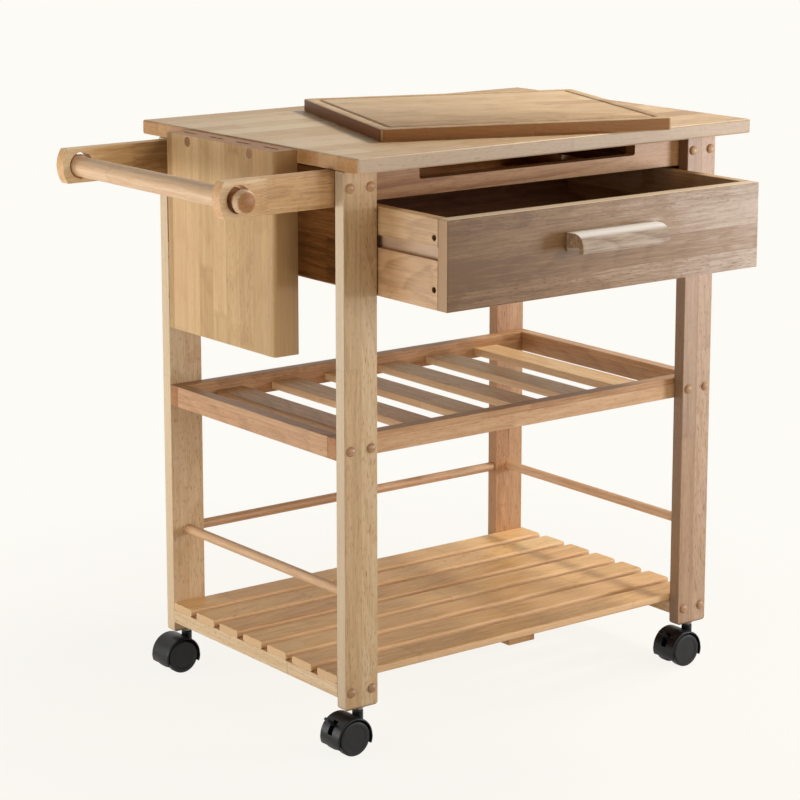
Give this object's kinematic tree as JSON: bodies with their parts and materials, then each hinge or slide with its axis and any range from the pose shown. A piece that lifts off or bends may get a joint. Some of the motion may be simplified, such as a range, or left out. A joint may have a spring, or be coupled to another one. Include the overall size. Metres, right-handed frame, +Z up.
{
  "type": "kitchen cart",
  "caption": "Wooden kitchen cart on casters with a worktop, sliding drawer, bottle rack, slatted shelf, knife block, towel rod and a loose cutting board.",
  "frame": {"origin": "middle of the bounding box at floor level, with the drawer part open as pictured", "axes": "+X along the drawer front, from the knife block towards the free end; +Y from front to back; +Z up"},
  "size_m": [0.9304, 0.708, 0.8785],
  "materials": {
    "light_wood": "satin lacquer",
    "board_wood": "oiled",
    "plug_wood": "satin lacquer",
    "steel": "plain",
    "black_plastic": "satin"
  },
  "bodies": {
    "frame": {"worktop": "light_wood", "leg_front_left": "light_wood", "leg_front_right": "light_wood", "leg_back_left": "light_wood", "leg_back_right": "light_wood", "front_apron": "light_wood", "left_apron": "light_wood", "right_apron": "light_wood", "back_panel": "light_wood", "left_runner": "light_wood", "right_runner": "light_wood", "left_board_rail": "light_wood", "right_board_rail": "light_wood", "rack_front_rail": "light_wood", "rack_back_rail": "light_wood", "rack_left_rail": "light_wood", "rack_right_rail": "light_wood", "rack_bars": "light_wood", "shelf_left_rail": "light_wood", "shelf_right_rail": "light_wood", "shelf_slats": "light_wood", "shelf_batten": "light_wood", "left_guard_dowel": "light_wood", "right_guard_dowel": "light_wood", "back_guard_dowel": "light_wood", "knife_block": "light_wood", "towel_arm_front": "light_wood", "towel_arm_back": "light_wood", "button_plugs": "plug_wood", "block_plugs": "plug_wood", "frame_screws": "steel", "caster_sleeves": "steel"},
    "drawer": {"drawer_front": "light_wood", "drawer_box_front": "light_wood", "drawer_left_side": "light_wood", "drawer_right_side": "light_wood", "drawer_back": "light_wood", "drawer_bottom": "light_wood", "drawer_pull": "light_wood", "drawer_screws": "steel"},
    "towel_rod": {"towel_rod": "light_wood"},
    "cutting_board": {"cutting_board": "board_wood"},
    "caster_front_left": {"caster_stem_front_left": "steel", "caster_hood_front_left": "black_plastic"},
    "wheels_front_left": {"caster_wheels_front_left": "black_plastic", "caster_axle_front_left": "steel"},
    "brake_front_left": {"brake_lever_front_left": "black_plastic"},
    "caster_back_left": {"caster_stem_back_left": "steel", "caster_hood_back_left": "black_plastic"},
    "wheels_back_left": {"caster_wheels_back_left": "black_plastic", "caster_axle_back_left": "steel"},
    "caster_front_right": {"caster_stem_front_right": "steel", "caster_hood_front_right": "black_plastic"},
    "wheels_front_right": {"caster_wheels_front_right": "black_plastic", "caster_axle_front_right": "steel"},
    "brake_front_right": {"brake_lever_front_right": "black_plastic"},
    "caster_back_right": {"caster_stem_back_right": "steel", "caster_hood_back_right": "black_plastic"},
    "wheels_back_right": {"caster_wheels_back_right": "black_plastic", "caster_axle_back_right": "steel"}
  },
  "joints": [
    {"name": "drawer_slide", "type": "slide", "parent": "frame", "child": "drawer", "axis": [0, -1, 0], "range_m": [-0.154, 0.146]},
    {"name": "towel_rod_spin", "type": "hinge", "parent": "frame", "child": "towel_rod", "pos_m": [-0.43425, 0.072, 0.8113], "axis": [0, 1, 0], "continuous": true},
    {"name": "board_lift", "type": "slide", "parent": "frame", "child": "cutting_board", "axis": [0, 0, 1], "range_m": [0, 0.3]},
    {"name": "caster_swivel_front_left", "type": "hinge", "parent": "frame", "child": "caster_front_left", "pos_m": [-0.248, -0.15375, 0.065], "axis": [0, 0, 1], "continuous": true},
    {"name": "wheel_spin_front_left", "type": "hinge", "parent": "caster_front_left", "child": "wheels_front_left", "pos_m": [-0.268, -0.15375, 0.026], "axis": [0, 1, 0], "continuous": true},
    {"name": "brake_tip_front_left", "type": "hinge", "parent": "caster_front_left", "child": "brake_front_left", "pos_m": [-0.283, -0.15375, 0.0395], "axis": [0, -1, 0], "range_deg": [0, 15]},
    {"name": "caster_swivel_back_left", "type": "hinge", "parent": "frame", "child": "caster_back_left", "pos_m": [-0.248, 0.29775, 0.065], "axis": [0, 0, 1], "continuous": true},
    {"name": "wheel_spin_back_left", "type": "hinge", "parent": "caster_back_left", "child": "wheels_back_left", "pos_m": [-0.268, 0.29775, 0.026], "axis": [0, 1, 0], "continuous": true},
    {"name": "caster_swivel_front_right", "type": "hinge", "parent": "frame", "child": "caster_front_right", "pos_m": [0.3965, -0.15375, 0.065], "axis": [0, 0, 1], "continuous": true},
    {"name": "wheel_spin_front_right", "type": "hinge", "parent": "caster_front_right", "child": "wheels_front_right", "pos_m": [0.3765, -0.15375, 0.026], "axis": [0, 1, 0], "continuous": true},
    {"name": "brake_tip_front_right", "type": "hinge", "parent": "caster_front_right", "child": "brake_front_right", "pos_m": [0.3615, -0.15375, 0.0395], "axis": [0, -1, 0], "range_deg": [0, 15]},
    {"name": "caster_swivel_back_right", "type": "hinge", "parent": "frame", "child": "caster_back_right", "pos_m": [0.3965, 0.29775, 0.065], "axis": [0, 0, 1], "continuous": true},
    {"name": "wheel_spin_back_right", "type": "hinge", "parent": "caster_back_right", "child": "wheels_back_right", "pos_m": [0.3765, 0.29775, 0.026], "axis": [0, 1, 0], "continuous": true}
  ]
}
